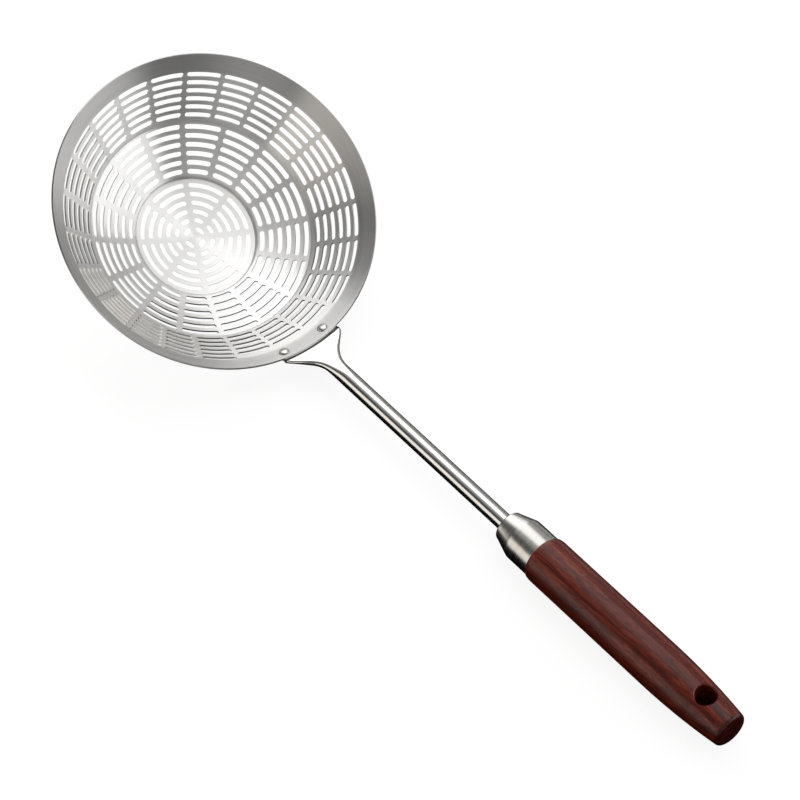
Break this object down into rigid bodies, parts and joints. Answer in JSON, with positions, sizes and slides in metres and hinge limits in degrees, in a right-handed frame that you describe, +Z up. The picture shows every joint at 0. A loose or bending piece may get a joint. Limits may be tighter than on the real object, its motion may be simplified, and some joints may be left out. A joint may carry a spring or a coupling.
{
  "type": "strainer ladle",
  "caption": "Long-handled slotted strainer ladle: a stepped steel bowl with rings of slots, riveted to a steel tube that ends in a ferruled wooden grip with a hanging hole.",
  "frame": {"origin": "centre of the ladle's bounding box in plan, on the table that the ladle lies on", "axes": "+X along the ladle from the bowl to the butt of the grip, +Z up off the table, the bowl's open side up"},
  "size_m": [0.4862, 0.18, 0.0999],
  "materials": {
    "bowl_steel": "stainless sheet, finely brushed round the bowl",
    "tube_steel": "polished stainless tube",
    "rivet_steel": "polished stainless rivet",
    "ferrule_steel": "stainless, finely brushed",
    "rosewood": "dark red-brown rosewood, oiled, with a satin sheen"
  },
  "bodies": {
    "root": {"strainer_bowl": "bowl_steel", "handle_tube": "tube_steel", "rivet_left": "rivet_steel", "rivet_right": "rivet_steel", "ferrule": "ferrule_steel", "wooden_grip": "rosewood"}
  },
  "joints": []
}
